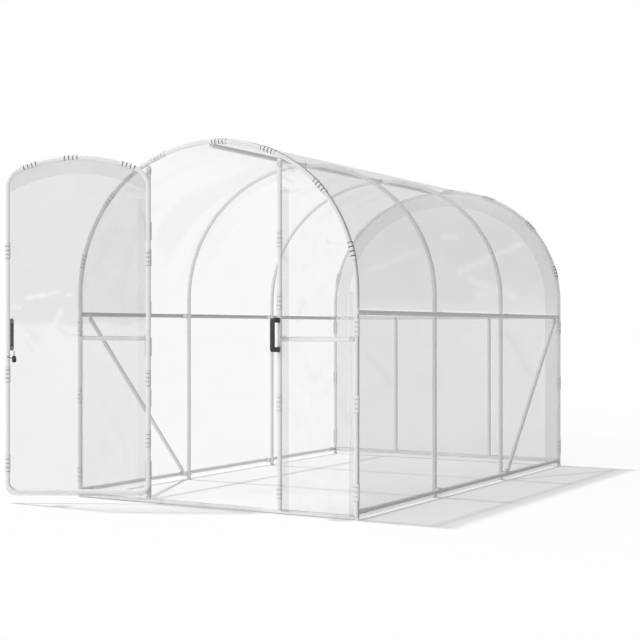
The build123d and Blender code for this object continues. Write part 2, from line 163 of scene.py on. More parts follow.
# The left front panel and its hem get less haze than the right as painted light, brightening the panel that
# the door shades
left_panel_haze = 0.03
right_panel_haze = 0.06
left_white_share = 0.10
right_white_share = 0.15
rear_haze = 0.19
rear_low_haze = 0.11
door_haze = 0.30
door_low_haze = 0.175
rear_hem_haze = 0.16
rear_hem_low_haze = 0.21
door_hem_haze = 0.15
left_hem_haze = 0.09
right_hem_haze = 0.26
mottle_share = 0.7
soft_white_share = 0.16

# Runs from the crown, right side positive, over which the cover's haze changes
left_painted_reflection_runs = (-1.5, -0.9)
roof_runs = (-0.5, 0.4)
right_wall_runs = (0.7, 1.5)

# Painted highlight streaks, and painted shade along folds: start and end on the wall, half width and strength
left_panel_painted_highlights = (
    ((-0.560, 1.686), (-0.444, 1.691), 0.011, 0.85),
    ((-0.731, 1.602), (-0.687, 1.680), 0.013, 0.70),
    ((-0.722, 1.612), (-0.705, 1.630), 0.022, 0.60),
    ((-0.640, 1.515), (-0.571, 1.533), 0.015, 0.85),
    ((-0.790, 1.462), (-0.640, 1.456), 0.010, 0.70),
    ((-0.660, 1.452), (-0.610, 1.449), 0.022, 0.90),
    ((-0.466, 1.378), (-0.466, 1.327), 0.018, 1.00),
    ((-0.536, 1.431), (-0.524, 1.425), 0.017, 0.60),
    ((-0.665, 1.742), (-0.600, 1.744), 0.018, 0.40),
    ((-0.480, 1.612), (-0.430, 1.585), 0.012, 0.55),
    ((-0.700, 1.270), (-0.651, 1.104), 0.010, 0.25),
    ((-0.700, 0.720), (-0.560, 0.640), 0.011, 0.30),
    ((-0.820, 0.420), (-0.700, 0.300), 0.013, 0.30),
    ((-0.520, 0.330), (-0.470, 0.190), 0.013, 0.35),
)
left_panel_painted_fold_shade = (
    ((-0.560, 1.765), (-0.450, 1.735), 0.014, 0.14),
    ((-0.470, 1.660), (-0.430, 1.560), 0.014, 0.14),
)
right_panel_painted_highlights = (
    ((0.470, 1.338), (0.515, 1.303), 0.014, 0.80),
    ((0.478, 1.157), (0.521, 1.146), 0.011, 0.80),
    ((0.470, 1.745), (0.540, 1.742), 0.018, 0.80),
    ((0.500, 1.785), (0.590, 1.772), 0.014, 0.60),
    ((0.560, 1.690), (0.620, 1.660), 0.016, 0.45),
    ((0.520, 1.430), (0.610, 1.375), 0.012, 0.45),
    ((0.610, 1.350), (0.690, 1.310), 0.020, 0.45),
    ((0.560, 1.250), (0.600, 1.200), 0.018, 0.45),
    ((0.756, 1.477), (0.870, 1.462), 0.008, 0.50),
    ((0.852, 1.195), (0.885, 1.090), 0.024, 0.80),
    ((0.700, 1.170), (0.640, 1.090), 0.014, 0.40),
    ((0.560, 0.700), (0.690, 0.610), 0.013, 0.40),
    ((0.800, 0.480), (0.700, 0.330), 0.016, 0.40),
    ((0.520, 0.420), (0.600, 0.240), 0.014, 0.40),
)
right_panel_painted_fold_shade = (
    ((0.462, 1.842), (0.530, 1.812), 0.008, 0.45),
    ((0.462, 1.802), (0.545, 1.794), 0.008, 0.30),
    ((0.462, 1.765), (0.545, 1.735), 0.009, 0.32),
    ((0.462, 1.718), (0.520, 1.692), 0.009, 0.32),
    ((0.470, 1.700), (0.580, 1.690), 0.007, 0.22),
    ((0.470, 1.352), (0.500, 1.330), 0.012, 0.28),
    ((0.740, 1.420), (0.840, 1.400), 0.008, 0.16),
    ((0.600, 1.120), (0.560, 1.010), 0.012, 0.12),
)
left_panel_look = (left_panel_painted_highlights, left_panel_painted_fold_shade, left_panel_haze, left_white_share, left_hem_haze)
right_panel_look = (
    right_panel_painted_highlights,
    right_panel_painted_fold_shade,
    right_panel_haze,
    right_white_share,
    right_hem_haze,
)
rear_painted_highlights = (
    ((0.000, 1.654), (0.105, 1.654), 0.022, 0.70),
    ((0.133, 1.392), (0.619, 1.581), 0.028, 0.75),
    ((0.229, 1.331), (0.580, 1.200), 0.034, 0.60),
    ((0.300, 1.230), (0.520, 1.260), 0.030, 0.55),
    ((-0.620, 1.420), (-0.200, 1.560), 0.026, 0.45),
)
rear_painted_fold_shade = (
    ((0.520, 0.930), (0.700, 0.640), 0.030, 0.06),
    ((-0.640, 0.780), (-0.420, 0.560), 0.030, 0.06),
)
door_painted_highlights = (
    ((0.690, 1.144), (0.590, 1.163), 0.014, 0.70),
    ((0.600, 1.160), (0.520, 1.176), 0.010, 0.55),
    ((0.500, 1.082), (0.542, 0.990), 0.012, 0.60),
    ((0.770, 1.098), (0.735, 1.090), 0.011, 0.50),
    ((0.470, 1.155), (0.445, 1.160), 0.009, 0.50),
)
door_painted_fold_shade = (
    ((0.690, 0.960), (0.630, 0.935), 0.016, 0.10),
    ((0.670, 0.935), (0.630, 0.905), 0.016, 0.08),
    ((0.700, 0.905), (0.655, 0.840), 0.007, 0.07),
    ((0.535, 0.995), (0.478, 0.943), 0.009, 0.10),
    ((0.478, 0.943), (0.392, 0.928), 0.009, 0.09),
)

# Snap clips that hold the film on the tubes
clip_length = 0.092
clip_bore = 0.0133
clip_sleeve = 0.0143
clip_rib = 0.0154
clip_ribs = 4
clip_line = 0.0042
clip_gap = 0.0020
clip_bevel = 0.0008
clip_mouth = radians(38)
clip_shade_turn = radians(42)
# Painted shade on the clips: along the outer lip and at rib feet, and per group, strongest on the shaded
# right half of the hoops
clip_lip_painted_shade = 0.6
clip_foot_painted_shade = 0.3
jamb_clip_painted_shade = 0.30
left_clip_painted_shade = 0.40
leg_clip_painted_shade = 0.25
stile_clip_painted_shade = 0.45
head_clip_painted_shade = 0.8
right_clip_painted_shade = 1.0
hoop_clip_turns = (-75, -47, -19.3, 3.6, 21.3, 47, 75)
leg_clip_heights = (0.1414, 0.5897, 0.980)
left_jamb_clip_shares = (0.041, 0.311, 0.574, 0.728)
right_jamb_clip_shares = (0.067, 0.314, 0.598, 0.775)
hinge_stile_clip_shares = (0.187, 0.363, 0.71)
free_stile_clip_shares = (0.114, 0.373, 0.731)
door_top_clip_turns = (-18.7, 3.1, 18.7)

# Sleeves, bolts and screws
sleeve_length = 0.085
sleeve_radius = 0.0140
sleeve_shift = 0.0013
sleeve_lip = 0.0008
sleeve_lip_end = 0.006
sleeve_bite = 0.002
sleeve_start = 0.001
sleeve_dark = 0.12
jamb_sleeve_length = 0.034
jamb_sleeve_drop = 0.012
jamb_bolt_drop = 0.028
rail_bolt_inset = 0.03
rear_bolt_inset = 0.045
bolt_radius = 0.0034
bolt_sides = 12
bolt_sink_share = 0.2
bolt_profile = ((0.0, 1.7), (0.25, 1.7), (0.34, 1.55), (0.34, 1.0), (0.8, 1.0), (1.05, 0.75), (1.15, 0.35))
hinge_shares = (0.099, 0.463, 0.805)
hinge_height = 0.100
hinge_screw_rise = 0.034
hinge_face = 0.0158
middle_hoop_shares = (0.337, 0.671)
clamp_half_width = 0.015
clamp_bolt_reach = 0.019

# Camera and picture
picture_width = 640
camera_place = Vector((middle_x + 4.0304, front_y - 5.7523, 0.9716))
camera_ahead = Vector((-0.5018, 0.8650, 0))
camera_lens = 72.48
camera_sensor = 36.0
horizon_row = 328.87


# Places on the frame
def front_spot(across, height, out=0.0):
    return Vector((middle_x + across, front_y - out, height))


def rear_spot(across, height, out=0.0):
    return Vector((middle_x + across, rear_y + out, height))


def leaf_spot(across, height, out=0.0):
    return leaf_foot + leaf_across * across + up * height + leaf_out * out


def arch_at(run, inset=0.0):
    # place and outward direction on the hoop's line, run metres round from the crown
    side = 1 if run >= 0 else -1
    rest = abs(run)
    if rest < crown_run:
        turn, middle, base, radius = rest / crown_radius, 0.0, crown_middle, crown_radius
    elif rest < crown_run + shoulder_run:
        turn = crown_turn + (rest - crown_run) / shoulder_radius
        middle, base, radius = shoulder_middle, spring_height, shoulder_radius
    else:
        height = spring_height - (rest - crown_run - shoulder_run)
        return side * (half_width - inset), height, side, 0.0
    across = middle + (radius - inset) * sin(turn)
    return side * across, base + (radius - inset) * cos(turn), side * sin(turn), cos(turn)


def run_at_across(across):
    # how far round from the crown the hoop's line comes to this distance from the middle
    turn = asin(across / crown_radius)
    if turn < crown_turn:
        return crown_radius * turn
    turn = asin((across - shoulder_middle) / shoulder_radius)
    return crown_run + shoulder_radius * (turn - crown_turn)


def foot_run(height):
    return crown_run + shoulder_run + spring_height - height


# Mesh helpers
def new_object(name, data):
    item = bpy.data.objects.new(name, data)
    bpy.context.scene.collection.objects.link(item)
    return item


def add_piece(name, points, faces, material, body):
    mesh = bpy.data.meshes.new(name)
    mesh.from_pydata([tuple(point) for point in points], [], [tuple(face) for face in faces])
    mesh.polygons.foreach_set("use_smooth", [True] * len(mesh.polygons))
    mesh.materials.append(material)
    mesh.update()
    piece = new_object(name, mesh)
    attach(piece, body)
    return piece


def grid_faces(rows, columns):
    index = np.arange(rows * columns).reshape(rows, columns)
    quads = (index[:-1, :-1], index[1:, :-1], index[1:, 1:], index[:-1, 1:])
    return np.stack(quads, -1).reshape(-1, 4).tolist()


def ring_faces(base, rings, around):
    # faces between rings of points that follow one another
    faces = []
    for row in range(rings - 1):
        first = base + row * around
        for step in range(around):
            after = (step + 1) % around
            faces.append((first + step, first + after, first + around + after, first + around + step))
    return faces


def add_turned(points, faces, foot, axis, profile, around):
    # a form turned about an axis; the profile gives distances along it and radii
    side = axis.orthogonal().normalized()
    other = axis.cross(side)
    base = len(points)
    for along, radius in profile:
        for step in range(around):
            turn = 2 * pi * step / around
            points.append(foot + axis * along + (side * cos(turn) + other * sin(turn)) * radius)
    faces.extend(ring_faces(base, len(profile), around))


def set_values(piece, name, values):
    attribute = piece.data.attributes.new(name, "FLOAT", "POINT")
    attribute.data.foreach_set("value", np.asarray(values, np.float32).ravel())


def smooth(low, high, value):
    share = min(1.0, max(0.0, (value - low) / (high - low)))
    return share * share * (3 - 2 * share)


# Material helpers
def new_material(name):
    material = bpy.data.materials.new(name)
    material.use_nodes = True
    nodes = material.node_tree.nodes
    return material, nodes, material.node_tree.links, nodes["Principled BSDF"]


def set_inputs(node, values):
    for name, value in values.items():
        node.inputs[name].default_value = value


def noise_node(nodes, links, scale, detail=4.0, rough=0.55, stretch=(1, 1, 1)):
    place = nodes.new("ShaderNodeNewGeometry")
    mapping = nodes.new("ShaderNodeMapping")
    set_inputs(mapping, {"Scale": stretch})
    texture = nodes.new("ShaderNodeTexNoise")
    set_inputs(texture, {"Scale": scale, "Detail": detail, "Roughness": rough})
    links.new(place.outputs["Position"], mapping.inputs["Vector"])
    links.new(mapping.outputs["Vector"], texture.inputs["Vector"])
    return texture.outputs["Fac"]


def ranged(nodes, links, value, low, high, to_low, to_high):
    node = nodes.new("ShaderNodeMapRange")
    set_inputs(node, {"From Min": low, "From Max": high, "To Min": to_low, "To Max": to_high})
    links.new(value, node.inputs["Value"])
    return node.outputs["Result"]


def sum_of(nodes, links, first, second, how="ADD"):
    node = nodes.new("ShaderNodeMath")
    node.operation = how
    node.use_clamp = True
    links.new(first, node.inputs[0])
    links.new(second, node.inputs[1])
    return node.outputs["Value"]


def blend_colour(nodes, links, share, first, second):
    node = nodes.new("ShaderNodeMix")
    node.data_type = "RGBA"
    set_inputs(node, {"A": (*first, 1), "B": (*second, 1)})
    links.new(share, node.inputs["Factor"])
    return node.outputs["Result"]


def bump(nodes, links, height, distance, strength, bsdf):
    node = nodes.new("ShaderNodeBump")
    set_inputs(node, {"Distance": distance, "Strength": strength})
    links.new(height, node.inputs["Height"])
    links.new(node.outputs["Normal"], bsdf.inputs["Normal"])


def roughen(nodes, links, value, low, high, bsdf):
    # roughness that goes from low to high with a noise
    links.new(ranged(nodes, links, value, 0.3, 0.7, low, high), bsdf.inputs["Roughness"])


def attribute_value(nodes, name):
    node = nodes.new("ShaderNodeAttribute")
    node.attribute_name = name
    return node.outputs["Fac"]


# Materials
def tube_material(name, light, darker):
    # powder coat with a fine orange peel and a few dull scuffs
    material, nodes, links, bsdf = new_material(name)
    cloud = noise_node(nodes, links, 6.0)
    links.new(blend_colour(nodes, links, cloud, light, darker), bsdf.inputs["Base Color"])
    scuff = noise_node(nodes, links, 45.0)
    roughen(nodes, links, scuff, 0.30, 0.46, bsdf)
    bsdf.inputs["Specular IOR Level"].default_value = 0.06
    peel = noise_node(nodes, links, 700.0, detail=2.0)
    bump(nodes, links, peel, 0.0004, 0.25, bsdf)
    return material


def film_material(name, tint, shade):
    # clear film with milky haze, white mottle and painted highlight streaks, and a fine crinkle
    material, nodes, links, bsdf = new_material(name)
    haze = attribute_value(nodes, "haze")
    crease = attribute_value(nodes, "crease")
    cloud = noise_node(nodes, links, 5.0, stretch=(1, 0.5, 1))
    cloudy = sum_of(nodes, links, haze, ranged(nodes, links, cloud, 0.3, 0.7, 0.94, 1.06), "MULTIPLY")
    links.new(sum_of(nodes, links, cloudy, crease), bsdf.inputs["Alpha"])
    colour = blend_colour(nodes, links, ranged(nodes, links, crease, 0.0, 0.2, 0.0, 1.0), shade, tint)
    links.new(colour, bsdf.inputs["Base Color"])
    grain = noise_node(nodes, links, 60.0)
    roughen(nodes, links, grain, 0.16, 0.30, bsdf)
    crinkle = noise_node(nodes, links, 38.0, detail=3.0)
    bump(nodes, links, crinkle, 0.003, 0.25, bsdf)
    return material


def clip_material():
    # white moulded plastic, with painted shade in the lines beside the ribs and along the outer lip; the
    # sleeves take an even grey tone
    material, nodes, links, bsdf = new_material("white_moulded_plastic")
    groove = attribute_value(nodes, "groove")
    colour = blend_colour(nodes, links, groove, (0.80, 0.80, 0.79), (0.07, 0.07, 0.07))
    links.new(colour, bsdf.inputs["Base Color"])
    grain = noise_node(nodes, links, 120.0)
    roughen(nodes, links, grain, 0.34, 0.48, bsdf)
    bump(nodes, links, noise_node(nodes, links, 500.0, detail=2.0), 0.0003, 0.3, bsdf)
    return material


def handle_material():
    # black moulded plastic with a fine grain
    material, nodes, links, bsdf = new_material("black_moulded_plastic")
    cloud = noise_node(nodes, links, 30.0)
    black = blend_colour(nodes, links, cloud, (0.010, 0.010, 0.011), (0.022, 0.022, 0.023))
    links.new(black, bsdf.inputs["Base Color"])
    roughen(nodes, links, cloud, 0.34, 0.50, bsdf)
    bump(nodes, links, noise_node(nodes, links, 900.0, detail=2.0), 0.0004, 0.4, bsdf)
    return material


def steel_material():
    # zinc plate with a soft spangle
    material, nodes, links, bsdf = new_material("zinc_plated_steel")
    spangle = noise_node(nodes, links, 90.0)
    grey = blend_colour(nodes, links, spangle, (0.42, 0.42, 0.43), (0.30, 0.30, 0.31))
    links.new(grey, bsdf.inputs["Base Color"])
    roughen(nodes, links, spangle, 0.32, 0.50, bsdf)
    bsdf.inputs["Metallic"].default_value = 0.85
    bump(nodes, links, noise_node(nodes, links, 400.0, stretch=(1, 1, 6)), 0.0003, 0.25, bsdf)
    return material


tube_white = tube_material("white_powder_coat", (0.90, 0.90, 0.89), (0.82, 0.82, 0.815))
# the purlins and ridge take darker copies of the white coat as painted shade
purlin_shaded_coat = tube_material("dull_white_powder_coat", (0.62, 0.62, 0.615), (0.55, 0.55, 0.545))
ridge_shaded_coat = tube_material("shaded_white_powder_coat", (0.79, 0.79, 0.785), (0.72, 0.72, 0.715))
# the roof, front and door films are one clear film; their different shade colours are painted light and shade
roof_film = film_material("clear_film_roof", (0.90, 0.90, 0.90), (0.26, 0.26, 0.265))
panel_film = film_material("clear_film_front", (0.95, 0.95, 0.94), (0.45, 0.44, 0.43))
door_film = film_material("clear_film_door", (0.90, 0.90, 0.90), (0.28, 0.28, 0.28))
clip_white = clip_material()
handle_black = handle_material()
hinge_steel = steel_material()
slot_materials = {
    "white_tube": tube_white,
    "clear_film": roof_film,
    "white_clip": clip_white,
    "black_handle": handle_black,
    "hinge_steel": hinge_steel,
}


def dress_frame():
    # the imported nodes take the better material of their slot
    for node in frame["nodes"].values():
        for slot in node.material_slots:
            for name, material in slot_materials.items():
                if slot.material and slot.material.name.startswith(name):
                    slot.material = material
    # darker coats on the purlins and ridge are painted shade
    darker = {"left_purlin": purlin_shaded_coat, "right_purlin": purlin_shaded_coat, "ridge_purlin": ridge_shaded_coat}
    for name, material in darker.items():
        for slot in frame["nodes"][name].material_slots:
            slot.material = material


def noise_at(x, y, z):
    return noise.noise(Vector((x, y, z)))


# Film surfaces: inward or outward lift, haze, and white mottle with painted highlights at a place on a wall
def crumple(across, height, seed, fine):
    # folded film: sharp valleys of warped noise, and a broad mottle
    warp = noise_at(across * 3, height * 3, seed) * 0.12
    place = Vector(((across + warp) * fine, (height - warp) * fine * 0.55, seed))
    first = noise.noise(place)
    second = noise.noise(place * 2.3 + Vector((7.1, 3.3, 0)))
    return abs(first) + 0.4 * abs(second), first + 0.6 * second


def pull_folds(across, height, holds):
    # small folds that spread from the places where clips hold the film
    folds = 9
    lift = 0.0
    for hold_across, hold_height, seed in holds:
        away = Vector((across - hold_across, height - hold_height))
        distance = away.length
        if 1e-6 < distance < 3 * pull_reach:
            turn = acos(max(-1.0, min(1.0, away.y / distance)))
            fade = exp(-distance / pull_reach) * smooth(0.0, pull_reach / 3, distance)
            lift += fade * sin(folds * turn + seed * 2.1)
    return lift


def marks(across, height, lines):
    # how strongly the marks of a list show at a place: painted highlight streaks and painted fold shade
    strength = 0.0
    ragged = noise.noise_vector(Vector((across * 26, height * 26, 1.7)))
    spot = Vector((across + 0.008 * ragged.x, height + 0.008 * ragged.y))
    patchy = 0.75 + 0.5 * ragged.z
    for start, end, half, mark_strength in lines:
        foot = Vector(start)
        line = Vector(end) - foot
        share = (spot - foot).dot(line) / line.length_squared
        beside = (spot - foot - line * min(1.0, max(0.0, share))).length
        if beside < 3 * half:
            strength = max(strength, mark_strength * exp(-((beside / half) ** 2)))
    return strength * patchy


def panel_surface(seed, holds, painted_highlights, folds, base_haze, white_share):
    # crumpled film between a leg and a jamb, taut over the rail that crosses it
    def surface(across, height):
        lift, mottle = crumple(across, height, seed, crumple_scale)
        dip = crumple_depth * min(1.0, lift) - pull_depth * pull_folds(across, height, holds)
        from_rail = abs(height - front_rail_height)
        over_rail = smooth(*rail_taut_reach, from_rail)
        # painted highlight streaks: the listed lines take less haze and more white; the folds add haze as
        # painted shade
        clear = marks(across, height, painted_highlights)
        haze = base_haze * (1 + mottle_share * mottle) * (1 - min(1.0, clear)) + marks(across, height, folds)
        haze *= tight_film(from_rail)
        soft_white = soft_white_share * smooth(0.20, 0.70, mottle)
        return -max(-panel_rise, dip) * over_rail, haze, white_share * max(soft_white, clear)
    return surface


def rear_surface(across, height):
    # taut film with a few broad soft folds, outside the rails and posts, with painted highlight streaks and
    # painted fold shade
    broad = noise_at(across * 2.4, height * 1.7, 61.7)
    lift = rear_slack * (1 + broad)
    cloud = noise_at(across * 5.0, height * 5.0, 9.2)
    upper = smooth(*rear_tone_heights, height + rear_tone_wave * cloud)
    haze = rear_low_haze + (rear_haze - rear_low_haze) * upper
    haze = haze * (1 - marks(across, height, rear_painted_highlights)) + marks(across, height, rear_painted_fold_shade)
    from_tube = abs(height - rear_rail_height)
    if height < rear_post_top:
        from_tube = min(from_tube, abs(abs(across) - rear_post))
    return lift, haze * tight_film(from_tube), 0.0


def door_surface(across, height):
    # taut film, hazier above a wavy line at half height, with painted highlight streaks and painted fold
    # shade
    broad = noise_at(across * 3.0, height * 2.0, 23.9)
    line = door_tone_height + door_tone_wave * noise_at(across * 7.0, 0.4, 3.1)
    upper = smooth(line - door_tone_blur, line + door_tone_blur, height)
    haze = door_low_haze + (door_haze - door_low_haze) * upper
    haze = haze * (1 - marks(across, height, door_painted_highlights)) + marks(across, height, door_painted_fold_shade)
    return -door_slack * (1 + broad), haze, 0.0


def film_grid(left_line, right_line, columns, place):
    # rows between two lines of a flat wall, the edges curled round the tubes there
    rows = []
    for (left_point, left_out), (right_point, right_out) in zip(left_line, right_line):
        row = []
        for step in range(wrap_steps, 0, -1):
            turn = panel_wrap * step / wrap_steps
            at = left_point + left_out * panel_offset * sin(turn)
            row.append(place(at.x, at.y, panel_offset * cos(turn)))
        for column in range(columns + 1):
            at = left_point.lerp(right_point, column / columns)
            row.append(place(at.x, at.y, panel_offset))
        for step in range(1, wrap_steps + 1):
            turn = panel_wrap * step / wrap_steps
            at = right_point + right_out * panel_offset * sin(turn)
            row.append(place(at.x, at.y, panel_offset * cos(turn)))
        rows.append(row)
    return rows


def add_film(name, rows, haze, crease, material, body):
    points = [point for row in rows for point in row]
    piece = add_piece(name, points, grid_faces(len(rows), len(rows[0])), material, body)
    set_values(piece, "haze", haze)
    set_values(piece, "crease", crease)
    return piece


def flat_film(name, lines, columns, place, surface, material, body):
    # a stretched end film with its wrinkles, haze, white mottle and painted highlight streaks
    left_line, right_line = lines
    rows = film_grid(left_line, right_line, columns, place)
    out = place(0, 0, 1) - place(0, 0, 0)
    end_rows = 7
    haze, crease = [], []
    for number, row in enumerate(rows):
        left_point = left_line[number][0]
        right_point = right_line[number][0]
        width = (right_point - left_point).length
        end_fade = smooth(0, end_rows, min(number, len(rows) - 1 - number))
        for column, point in enumerate(row):
            share = min(1.0, max(0.0, (column - wrap_steps) / columns))
            at = left_point.lerp(right_point, share)
            lift, film_haze, mark_strength = surface(at.x, at.y)
            from_side = min(share, 1 - share) * width
            fade = smooth(0.0, edge_taut_reach, from_side) * end_fade
            row[column] = point + out * (fade * lift)
            haze.append(film_haze * tight_film(from_side))
            crease.append(mark_strength * fade)
    return add_film(name, rows, haze, crease, material, body)


def add_hem(name, rows, haze, material, body):
    # a second layer of film, welded on along an edge
    values = [haze(point) for row in rows for point in row]
    return add_film(name, rows, values, [0.0] * len(values), material, body)


def even_haze(share):
    return lambda point: share


def rear_hem_tone(point):
    # a little milkier low on the right
    lower = 1 - smooth(purlin_height - 0.03, purlin_height + 0.03, point.z)
    to_right = smooth(0.0, half_width / 2, point.x - middle_x)
    return rear_hem_haze + (rear_hem_low_haze - rear_hem_haze) * lower * to_right


def tight_film(distance):
    # share of its haze that film keeps near the line of a tube that it lies on
    clear = smooth(tight_near_share * tube_radius, tight_far_share * tube_radius, distance)
    return tight_share + (1 - tight_share) * clear


def rim_painted_shade(turn):
    # share of its haze that the cover has as it bends round the front hoop; the extra haze along the hoop's
    # outer edge is painted shade
    return rim_shade_share + (tight_share - rim_shade_share) * smooth(rim_turn, 2 * rim_turn, turn)


# Cover over the sides and roof
def cover_drop(run, share, along):
    # how far the film lies inside the line it has on the end hoops
    rest = abs(run)
    roof_end = foot_run(purlin_height)
    if rest > roof_end:
        return 0.0
    from_end = min(share, 1 - share) * (rear_y - front_y)
    settle = smooth(0.0, cover_settle, from_end)
    sag = cover_sag * (1 - smooth(0.7 * roof_end, roof_end, rest))
    slack = sin(pi * rest / roof_end) ** 2 * sin(pi * share) ** 0.7
    ripple = noise_at(run * 9, along * 0.9, 4.7)
    broad = noise_at(run * 2.2, along * 1.3, 8.1)
    return max(0.0, settle * sag + slack * (cover_slack + cover_broad_slack * broad - cover_ripple * ripple))


def cover_haze_and_painted_light(run, along):
    # clear on the left wall, milky over the roof and less so down the right wall; this is painted light, and
    # the streaks on the left wall are painted reflection
    up_roof = smooth(*roof_runs, run)
    purlin_run = foot_run(purlin_height)
    streak = noise_at(run * 1.6 + along * 0.9, along * 5.5 - run * 1.2, 2.6)
    painted_reflection = left_painted_reflection_haze * smooth(0.05, 0.6, streak) * smooth(*left_painted_reflection_runs, run) * (1 - up_roof)
    right_side = roof_haze + (right_wall_haze - roof_haze) * smooth(*right_wall_runs, run)
    haze = left_wall_haze + (right_side - left_wall_haze) * up_roof
    return (painted_reflection + haze) * tight_film(abs(abs(run) - purlin_run))


def build_cover():
    row_count = 330
    columns = 160
    reach = foot_run(film_foot)
    stations = [tube_radius * step / 2 for step in range(4)]
    length = rear_y - front_y
    step_length = (length - 4 * tube_radius) / columns
    stations += [2 * tube_radius + step_length * step for step in range(columns + 1)]
    stations += [length - tube_radius * step / 2 for step in range(3, -1, -1)]
    last = len(stations) - 1
    rows, haze = [], []
    for number in range(row_count + 1):
        run = -reach + 2 * reach * number / row_count
        across, height, out_across, out_up = arch_at(run)
        out = Vector((out_across, 0, out_up))
        line = Vector((middle_x + across, 0, height))
        row = []
        for column in range(-wrap_steps, last + wrap_steps + 1):
            station = stations[min(last, max(0, column))]
            along = front_y + station
            turn = 0.0
            if 0 <= column <= last:
                share = station / length
                point = line + out * (cover_offset - cover_drop(run, share, along))
                point.y = along
            else:
                over = -column if column < 0 else column - last
                turn = cover_wrap * over / wrap_steps
                end_y, face = (front_y, -1) if column < 0 else (rear_y, 1)
                point = line + out * (cover_offset * cos(turn))
                point.y = end_y + face * cover_offset * sin(turn)
            row.append(point)
            held = tight_film(length - station) if station > 0 else rim_painted_shade(turn)
            haze.append(cover_haze_and_painted_light(run, along) * held)
        rows.append(row)
    piece = add_film("film_cover", rows, haze, [0.0] * len(haze), roof_film, "tunnel")
    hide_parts("tunnel_cover")


# End walls
def hoop_side(side, end, rows):
    # points up one leg and round the bends to a run from the crown, with their outward directions
    line = []
    start = foot_run(film_foot)
    for row in range(rows + 1):
        run = start + (end - start) * row / rows
        across, height, out_across, out_up = arch_at(side * run)
        line.append((Vector((across, height)), Vector((out_across, out_up))))
    return line


def jamb_side(across, top, out, rows):
    rise = top - film_foot
    return [(Vector((across, film_foot + rise * row / rows)), Vector((out, 0))) for row in range(rows + 1)]


def upright_hem(start, end, low, high, place, steps=40):
    # rows of a straight band between two distances across and two heights
    rows = []
    for step in range(steps + 1):
        height = low + (high - low) * step / steps
        across = [start + (end - start) * column / 4 for column in range(5)]
        rows.append([place(at, height, panel_offset + hem_gap) for at in across])
    return rows


def build_front_panel(word, side, jamb, jamb_top, shares, look):
    painted_highlights, folds, base_haze, white_share, hem_haze = look
    rows = 250
    columns = 66
    hoop_line = hoop_side(side, run_at_across(abs(jamb) + panel_past_jamb), rows)
    top = hoop_line[-1][0].y - panel_top_drop
    jamb_line = jamb_side(jamb, top, -side, rows)
    holds = [(jamb, share * jamb_top, share * 10) for share in shares]
    holds += [(side * half_width, height, height * 7) for height in leg_clip_heights]
    lines = (hoop_line, jamb_line) if side < 0 else (jamb_line, hoop_line)
    surface = panel_surface(11.3 * (side + 2), holds, painted_highlights, folds, base_haze, white_share)
    piece = flat_film("film_front_" + word, lines, columns, front_spot, surface, panel_film, "tunnel")
    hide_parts("front_" + word + "_panel")

    edge = jamb + side * tube_radius
    jamb_rows = upright_hem(edge, edge + side * jamb_hem_width, film_foot, jamb_hem_top, front_spot)
    leg = side * (half_width - tube_radius)
    leg_rows = upright_hem(leg, leg - side * leg_hem_width, film_foot, spring_height, front_spot)
    hems = [
        add_hem("hem_" + word + "_jamb", jamb_rows, even_haze(hem_haze), panel_film, "tunnel"),
        add_hem("hem_" + word + "_leg", leg_rows, even_haze(hem_haze), panel_film, "tunnel"),
    ]


def build_rear_panel():
    row_count = 190
    columns = 130
    lines = [hoop_side(side, rear_crown_gap, row_count) for side in (-1, 1)]
    piece = flat_film("film_rear", lines, columns, rear_spot, rear_surface, roof_film, "tunnel")
    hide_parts("rear_panel")
    hem_rows = []
    hem_steps = 220
    hem_columns = 6
    reach = foot_run(film_foot)
    for step in range(hem_steps + 1):
        run = reach * (2 * step / hem_steps - 1)
        row = []
        for column in range(hem_columns + 1):
            across, height = arch_at(run, rear_hem_width * column / hem_columns)[:2]
            row.append(rear_spot(across, height, panel_offset + 2 * rear_slack + hem_gap))
        hem_rows.append(row)
    hem = add_hem("hem_rear", hem_rows, rear_hem_tone, roof_film, "tunnel")


# Door leaf
def door_outline(rows):
    # both sides of the leaf's frame, from its foot up the stiles and over the head to its middle
    half = leaf_width / 2
    corner_across = half - door_corner_radius
    head_turn = asin(corner_across / (door_top_radius - door_corner_radius))
    corner_up = door_head_middle + (door_top_radius - door_corner_radius) * cos(head_turn)
    foot_up = door_rail_height + door_foot_radius
    foot_arc = door_foot_radius * radians(80)
    corner_arc = door_corner_radius * (pi / 2 - head_turn)
    head_arc = door_top_radius * head_turn - door_crown_gap
    stile = corner_up - foot_up
    whole = foot_arc + stile + corner_arc + head_arc
    right = []
    for row in range(rows + 1):
        run = whole * row / rows
        if run < foot_arc:
            turn = (foot_arc - run) / door_foot_radius
            out = Vector((cos(turn), -sin(turn)))
            right.append((Vector((half - door_foot_radius, foot_up)) + out * door_foot_radius, out))
        elif run < foot_arc + stile:
            right.append((Vector((half, foot_up + run - foot_arc)), Vector((1, 0))))
        elif run < foot_arc + stile + corner_arc:
            turn = pi / 2 - (run - foot_arc - stile) / door_corner_radius
            out = Vector((sin(turn), cos(turn)))
            right.append((Vector((corner_across, corner_up)) + out * door_corner_radius, out))
        else:
            turn = head_turn - (run - foot_arc - stile - corner_arc) / door_top_radius
            out = Vector((sin(turn), cos(turn)))
            right.append((Vector((0, door_head_middle)) + out * door_top_radius, out))
    middle = Vector((door_middle, 0))
    left = [(Vector((-at.x, at.y)) + middle, Vector((-out.x, out.y))) for at, out in right]
    return left, [(at + middle, out) for at, out in right]


